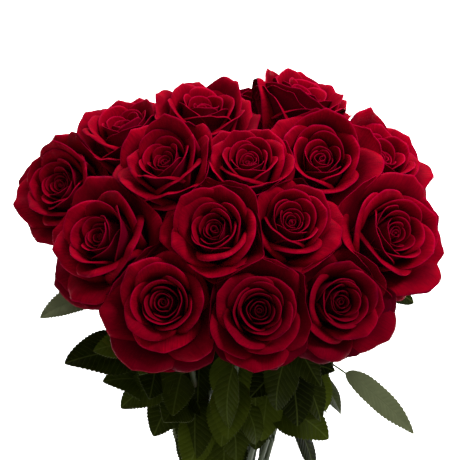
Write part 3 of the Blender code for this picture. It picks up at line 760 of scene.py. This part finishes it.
def velvet_petal():
    material, tree, shader = new_material("velvet rose petal")
    where = add(tree, "ShaderNodeUVMap", uv_map="petal").outputs[0]
    rim = add(tree, "ShaderNodeAttribute", attribute_name="to_rim").outputs["Fac"]
    tone_and_shade = add(tree, "ShaderNodeAttribute", attribute_name="tone_and_shade").outputs["Fac"]
    # Veins fan up the petal about a millimetre apart, and blotches of deeper red are a centimetre across.
    fan = add(tree, "ShaderNodeMapping", {"Vector": where, "Scale": (1.0, 0.12, 1.0)}).outputs[0]
    veins = add(tree, "ShaderNodeTexNoise", {"Vector": fan, "Scale": 1 / PETAL_VEIN_GAP, "Detail": 3.0})
    veins = veins.outputs["Fac"]
    blotch = add(tree, "ShaderNodeTexNoise", {"Vector": where, "Scale": 1 / PETAL_BLOTCH, "Detail": 3.0})
    blotch = {"Value": blotch.outputs["Fac"], "From Min": 0.3, "From Max": 0.7}
    blotch = add(tree, "ShaderNodeMapRange", blotch).outputs[0]
    red = {0: blotch, 6: linear(PETAL_RED), 7: linear(PETAL_BRIGHT)}
    red = add(tree, "ShaderNodeMix", red, data_type="RGBA").outputs[2]
    streak = {"Value": veins, "From Min": 0.35, "From Max": 0.7, "To Max": 0.45}
    streak = add(tree, "ShaderNodeMapRange", streak).outputs[0]
    # The tone value is painted shade and light as well as a petal's random tone: it darkens the heart, the
    # lowest guards and the front blooms, and lightens the upper right ones.
    darker = add(tree, "ShaderNodeMath", {0: tone_and_shade, 1: 0.42}, operation="MULTIPLY").outputs[0]
    # Painted shade: a petal is darkened away from its rim, towards the claw that holds it, down in the bloom
    # where shade falls.
    depth = {"Value": rim, "From Min": 1.5, "From Max": 17.0, "To Max": 0.65}
    depth = add(tree, "ShaderNodeMapRange", depth).outputs[0]
    for share in (streak, darker, depth):
        deeper_red_and_shade = {0: share, 6: red, 7: linear(PETAL_DEEP_AND_SHADE)}
        red = add(tree, "ShaderNodeMix", deeper_red_and_shade, data_type="RGBA").outputs[2]
    # The outer face is duller and more purple than the velvety inner one.
    reverse = add(tree, "ShaderNodeAttribute", attribute_name="reverse").outputs["Fac"]
    dull = add(tree, "ShaderNodeMath", {0: reverse, 1: 0.6}, operation="MULTIPLY").outputs[0]
    # Painted highlight: the rolled edge is painted lighter and a touch pinker over its last millimetre and a
    # half, a painted sheen where the rim catches the light, with less of it on the darker, shaded petals.
    rim_highlight = add(tree, "ShaderNodeMapRange", {"Value": rim, "From Min": 1.4, "From Max": 0.2}).outputs[0]
    highlight_strength = add(tree, "ShaderNodeMath", {0: tone_and_shade, 1: -0.25, 2: 0.55}, operation="MULTIPLY_ADD").outputs[0]
    rim_highlight = add(tree, "ShaderNodeMath", {0: rim_highlight, 1: highlight_strength}, operation="MULTIPLY").outputs[0]
    # Handling bruises the last few millimetres here and there to a dark purple.
    spots = add(tree, "ShaderNodeTexNoise", {"Vector": where, "Scale": 1 / BRUISE_SIZE, "Detail": 4.0})
    spots = {"Value": spots.outputs["Fac"], "From Min": 0.56, "From Max": 0.68}
    spots = add(tree, "ShaderNodeMapRange", spots).outputs[0]
    near = {"Value": rim, "From Min": 3.5, "From Max": 0.3, "To Max": 0.75}
    near = add(tree, "ShaderNodeMapRange", near).outputs[0]
    bruise = add(tree, "ShaderNodeMath", {0: spots, 1: near}, operation="MULTIPLY").outputs[0]
    for share, hue in ((dull, PETAL_REVERSE), (rim_highlight, PETAL_RIM_HIGHLIGHT), (bruise, PETAL_BRUISE)):
        red = add(tree, "ShaderNodeMix", {0: share, 6: red, 7: linear(hue)}, data_type="RGBA").outputs[2]
    tree.links.new(red, shader.inputs["Base Color"])
    # The nap of tiny hairs that makes it velvety, drawn coarser than the real one.
    nap = add(tree, "ShaderNodeTexNoise", {"Vector": where, "Scale": 1 / PETAL_NAP, "Detail": 2.0})
    height = {0: nap.outputs["Fac"], 1: 0.4, 2: veins}
    height = add(tree, "ShaderNodeMath", height, operation="MULTIPLY_ADD").outputs[0]
    bump = add(tree, "ShaderNodeBump", {"Height": height, "Strength": 0.35, "Distance": 0.0006})
    tree.links.new(bump.outputs["Normal"], shader.inputs["Normal"])
    # Velvet hardly shines. It glows softly red where it turns away from the eye.
    shader.inputs["Roughness"].default_value = PETAL_ROUGHNESS
    shader.inputs["Specular IOR Level"].default_value = PETAL_SHINE
    shader.inputs["Specular Tint"].default_value = linear(PETAL_GLOSS)
    shader.inputs["Sheen Weight"].default_value = SHEEN_SHARE
    shader.inputs["Sheen Roughness"].default_value = SHEEN_ROUGHNESS
    shader.inputs["Sheen Tint"].default_value = linear(PETAL_SHEEN)
    return material


def petal_run(openness):
    """Every petal of a rose in a 100 mm bloom, from the heart out. Each has its neck's radius and height, its
    lean there, the flare it opens by and over what length, the curl of its rim and over what length, half its
    width and how flat it lies across: angles in degrees, lengths in millimetres."""
    run = []
    # The tight heart.
    for t in np.linspace(0, 1, 10):
        neck, height, lean, flare = 1.1 + 8.6 * t**1.1, 35 + 6 * t, -9 + 8 * t, 3 + 8 * t
        run.append((neck, height, lean, flare, 8, 8 + 10 * t, 1.4, 8 + 9 * t, 1.0))
    # The cup.
    for t in np.linspace(0, 1, 8):
        neck, height, lean, flare = 10.8 + 8.7 * t, 42 + 4 * t, 8 * t, 12 + 12 * t
        run.append((neck, height, lean, flare, 11, 16 + 10 * t, 1.8, 18 + 8 * t, 1.04))
    # The broad petals that roll back.
    for t in np.linspace(0, 1, 6):
        neck, height = 21 + (5 + 3 * openness) * t, 46 - (3 + 5 * openness) * t
        lean, flare = 8 + 8 * openness + (6 + 10 * openness) * t, 18 + 16 * openness + 8 * t
        run.append((neck, height, lean, flare, 14, 24 + 16 * t, 3.2, 29 + 5 * t, 1.12 + 0.12 * t))
    # The outermost petals, which open wide.
    for t in np.linspace(0, 1, 8):
        neck, height = 28 + 8 * openness + (4 + 2 * openness) * t, 41 - 9 * openness - 9 * t
        lean, flare = 6 + 36 * openness + (10 + 10 * openness) * t, 14 + 40 * openness + 8 * t
        run.append((neck, height, lean, flare, 20, 26 + 15 * t, 5.0, 34 + 5 * t, 1.35 + 0.25 * t))
    # The guard petals under them, which a bud hasn't let go yet.
    for t in np.linspace(0, 1, 6) if openness > 0.2 else ():
        neck, height = 32 + 4 * openness + 2 * t, 28 - 5 * openness - 9 * t
        run.append((neck, height, 34 + 18 * openness + 20 * t, 32 + 16 * t, 17, 20, 5.0, 36, 1.7))
    return run


def ease(x):
    x = np.clip(x, 0.0, 1.0)
    return x * x * (3 - 2 * x)


def petal_shape(across, along, petal, chance):
    """The petal's points in millimetres about the bloom's axis, with the bloom's hip at the origin, and for
    each point its place across and along the petal and how far it is from the rim."""
    neck, height, lean, flare, flared, curl, curled, half_width, flatness = petal
    order = np.lexsort((across, along))
    shape = (PETAL_ROWS + 1, PETAL_COLUMNS + 1)
    s, t = across[order].reshape(shape), along[order].reshape(shape)
    neck *= 1 + chance.normal(0, 0.045)
    height += chance.normal(0, 1.2)
    lean += chance.normal(0, 3.0)
    flare *= 1 + chance.normal(0, 0.25)
    curl *= 1 + chance.normal(0, 0.35)
    # The side view of an unrolled petal, as a curve from the hip's shoulder up to the neck.
    start = np.array([min(neck, 4.6), 5.0 if neck < 12 else 2.0])
    end = np.array([neck, height])
    reach = np.linalg.norm(end - start)
    first = math.radians(24 + 52 * min(1.0, neck / 22))
    last = math.radians(lean)
    k = np.linspace(0, 1, 60)[:, None]
    one = start + np.array([math.sin(first), math.cos(first)]) * reach * 0.46
    two = end - np.array([math.sin(last), math.cos(last)]) * reach * 0.42
    line = start * (1 - k) ** 3 + 3 * one * k * (1 - k) ** 2 + 3 * two * k**2 * (1 - k) + end * k**3
    steps = np.diff(line, axis=0)
    run = np.concatenate([[0], np.cumsum(np.hypot(*steps.T))])
    slope = np.arctan2(steps[:, 0], steps[:, 1])
    whole = run[-1] + flared * 0.75
    # The outline: full in the middle, lower at the shoulders, a slight point on the outer petals, and an
    # edge that is never quite even.
    skew = chance.normal(0, 0.05)
    point = 0.05 * ease((neck - 15) / 12) * np.exp(-((s / 0.14) ** 2))
    shoulders = 0.15 * np.abs(s) ** 2.4 + 0.25 * np.abs(s) ** 7
    uneven = sum(
        np.sin(n * s + chance.uniform(0, math.tau)) * chance.uniform(0, 0.9 / n) for n in (2, 4, 7, 10)
    )
    column = whole * (1 - shoulders + skew * s + point) + uneven * (0.4 + 0.075 * neck)
    far = column * (1 - (1 - t) ** 1.25)
    to_rim = column - far
    # It opens, and its rim rolls back, a little more at the sides than in the middle.
    sides = 1 + 0.3 * np.abs(s) ** 2
    opening = np.radians(flare) * sides * ease(1 - to_rim / (flared * sides))
    rolling = np.radians(curl) * sides**2 * ease(1 - to_rim / (curled * sides))
    angle = np.interp(far, (run[1:] + run[:-1]) / 2, slope) + opening + rolling
    move = np.diff(far, axis=0)
    mean = (angle[1:] + angle[:-1]) / 2
    r = start[0] + np.vstack([np.zeros((1, shape[1])), np.cumsum(np.sin(mean) * move, axis=0)])
    z = start[1] + np.vstack([np.zeros((1, shape[1])), np.cumsum(np.cos(mean) * move, axis=0)])
    share = far / whole
    width = half_width * (0.30 + 0.70 * np.sin(math.pi / 2 * np.minimum(1, share / 0.62)))
    width = width * (1 - 0.08 * ease((share - 0.72) / 0.28))
    # Furl it round the axis. Each petal's left side lies over its neighbour and its right side under.
    spine = np.maximum(np.minimum(r, neck * (0.35 + 0.65 * ease(share / 0.5)) + 0.6), 0.9)
    bow = spine * flatness
    psi = np.clip(s * width / bow, -3.6, 3.6)
    lap = 1.0 + 0.075 * neck
    ring = r + lap * psi / math.pi
    # Its upper half ripples, square to its surface.
    ripple = (0.18 + 0.030 * neck) * ease((share - 0.45) / 0.5)
    waves = sum(
        math.sqrt(1 / n) * np.sin(n * 2.3 * s + chance.uniform(0, math.tau)) * chance.uniform(0.4, 1.0)
        for n in (1, 2, 4)
    )
    ring = ring + ripple * waves * np.cos(angle)
    z = z - ripple * waves * np.sin(angle)
    x = ring - bow + bow * np.cos(psi)
    y = bow * np.sin(psi)
    points = np.stack([x, y, z], axis=-1).reshape(-1, 3)
    back = np.empty_like(order)
    back[order] = np.arange(len(order))
    flat = [v.reshape(-1)[back] for v in (s * width, far, np.minimum(to_rim, (1 - np.abs(s)) * width + 0.2))]
    return points[back], flat


def press(points, hips, own):
    """Eases the petals back from the plane halfway to each neighbouring bloom."""
    hip, facing, radius, depth = hips[own]
    middle = np.array(hip + facing * depth * BLOOM_MIDDLE)
    for other, (its_hip, its_facing, its_radius, its_depth) in hips.items():
        its_middle = np.array(its_hip + its_facing * its_depth * BLOOM_MIDDLE)
        between = its_middle - middle
        gap = np.linalg.norm(between)
        if other == own or gap > (radius + its_radius) * 1.25:
            continue
        normal = between / gap
        wall = gap * radius / (radius + its_radius) + PETAL_LAP
        past = (points - middle) @ normal - (wall - PRESS_DEPTH)
        eased = np.where(past > 0, PRESS_DEPTH * (1 - np.exp(-np.maximum(past, 0) / PRESS_DEPTH)), past)
        # What is pressed back from the wall goes half as far up the bloom.
        points = points + np.outer(eased - past, normal) + np.outer(past - eased, facing) * 0.5
    return points


def open_rose(rose, hips):
    """A bloom on its hip: its petals in turn from the heart out, pressed by its neighbours and thickened."""
    openness, spin, seed, deeper_red_and_shade = HABITS[rose]
    chance = np.random.default_rng(seed)
    hip, facing, radius, depth = hips[rose]
    scale = radius / (RIM_CLOSED + (RIM_OPEN - RIM_CLOSED) * openness)
    petals = []
    run = [(petal, None) for petal in petal_run(openness)]
    for towards, neck, height, lean, flare, half_width in LONE_PETALS.get(rose, ()):
        run.append(((neck, height, lean, flare, 17, 24, 4.0, half_width, 1.4), Vector(towards)))
    for number, (petal, towards) in enumerate(run):
        blank, across, along = blade_grid(PETAL_COLUMNS, PETAL_ROWS, "petal")
        points, (place_across, place_along, to_rim) = petal_shape(across, along, petal, chance)
        heading = math.radians(spin) + number * GOLDEN_ANGLE + chance.normal(0, 0.12)
        if towards:
            ahead, aside = standing(facing, 0.0).transposed()[:2]
            heading = math.atan2(towards.dot(aside), towards.dot(ahead))
        turn = np.array(standing(facing, heading))
        points = points * scale @ turn.T + np.array(hip)
        blank.data.vertices.foreach_set("co", press(points, hips, rose).ravel())
        name_corner_place(blank.data, "petal", place_across + PATTERN_STEP * number, place_along)
        name_point_value(blank.data, "to_rim", to_rim)
        # Painted shade: the heart's petals are darkened, deep in the bloom, and so are the lowest guards,
        # under it. The bloom's painted light and shade and a random tone for each petal are added too.
        tone_and_shade = deeper_red_and_shade + chance.uniform(0, 0.7) + 0.9 * (1 - ease(petal[0] / 17))
        tone_and_shade += 1.2 if petal[1] < SHADED_GUARD_HEIGHT else 0
        name_point_value(blank.data, "tone_and_shade", np.full(len(points), tone_and_shade))
        petals.append(blank)
    bloom = join_all(petals, "rose_" + rose)
    outer_points = len(bloom.data.vertices)
    name_point_value(bloom.data, "reverse", np.ones(outer_points))
    thick = bloom.modifiers.new("Thickness", "SOLIDIFY")
    thick.thickness = PETAL_THICKNESS
    thick.offset = 0.0
    apply_modifiers(bloom)
    reverse = (np.arange(len(bloom.data.vertices)) < outer_points).astype(np.float32)
    bloom.data.attributes["reverse"].data.foreach_set("value", reverse)
    bpy.ops.object.shade_smooth()
    return bloom


petal_material = velvet_petal()
hips = {rose: hip_of(rose) for rose in rose_names}
for rose in rose_names:
    finish_piece(open_rose(rose, hips), petal_material, ["bloom_" + rose])

# The studio
# A pale painted floor, a soft key light above the bunch and to its right, and an even white sky that fills
# the shadows. A second light, over the floor behind the bunch, keeps that white.

FLOOR_WHITE = "F7F7F6"
FLOOR_GREY = "F5F5F4"
FLOOR_SIDE = 14.0
FLOOR_ROUGHNESS = 0.8
FLOOR_GRAIN = 1 / 6


def painted_floor():
    material, tree, shader = new_material("painted floor")
    place = add(tree, "ShaderNodeTexCoord").outputs["Object"]
    # Matt emulsion, with a barely darker cloud here and there.
    grain = add(tree, "ShaderNodeTexNoise", {"Vector": place, "Scale": 1 / FLOOR_GRAIN, "Detail": 5.0})
    colour = {0: grain.outputs["Fac"], 6: linear(FLOOR_GREY), 7: linear(FLOOR_WHITE)}
    colour = add(tree, "ShaderNodeMix", colour, data_type="RGBA").outputs[2]
    tree.links.new(colour, shader.inputs["Base Color"])
    shader.inputs["Roughness"].default_value = FLOOR_ROUGHNESS
    return material


bpy.ops.mesh.primitive_plane_add(size=FLOOR_SIDE)
floor = bpy.context.object
floor.name = "floor"
bpy.ops.object.mode_set(mode="EDIT")
bpy.ops.mesh.subdivide(number_cuts=3)
bpy.ops.object.mode_set(mode="OBJECT")
floor.data.materials.append(painted_floor())


def soft_light(name, place, towards, size, watts):
    bpy.ops.object.light_add(type="AREA", location=place)
    light = bpy.context.object
    light.name = name
    light.data.size = size
    light.data.energy = watts
    light.rotation_euler = (Vector(towards) - Vector(place)).to_track_quat("-Z", "Y").to_euler()
    return light


BUNCH_MIDDLE = (0.0, -0.02, 0.50)
FLOOR_BEHIND = (0.0, 1.3, 0.0)
SKY_STRENGTH = 0.50
soft_light("key", (1.05, -0.50, 2.1), BUNCH_MIDDLE, size=0.6, watts=36)
floor_light = soft_light("floor light", (0.0, 1.6, 2.2), FLOOR_BEHIND, size=1.8, watts=60)
floor_light.data.spread = math.radians(90)

world = bpy.data.worlds.new("studio")
world.use_nodes = True
sky = world.node_tree.nodes["Background"].inputs
sky["Color"].default_value = (1, 1, 1, 1)
sky["Strength"].default_value = SKY_STRENGTH
bpy.context.scene.world = world
bpy.context.scene.view_settings.view_transform = "Standard"

# The camera
# It looks down a little on the bunch from its front, and is aimed at the blooms, so that they fill the view.

CAMERA_AIM = Vector((-0.005, 0.0, 0.482))
CAMERA_DISTANCE = 1.30
CAMERA_ELEVATION = math.radians(27.5)
FRAME_WIDTH = 0.394

bpy.ops.object.camera_add()
camera = bpy.context.object
towards_camera = Vector((0, -math.cos(CAMERA_ELEVATION), math.sin(CAMERA_ELEVATION)))
camera.location = CAMERA_AIM + CAMERA_DISTANCE * towards_camera
camera.rotation_euler = (math.pi / 2 - CAMERA_ELEVATION, 0, 0)
camera.data.lens = camera.data.sensor_width * CAMERA_DISTANCE / FRAME_WIDTH
bpy.context.scene.camera = camera
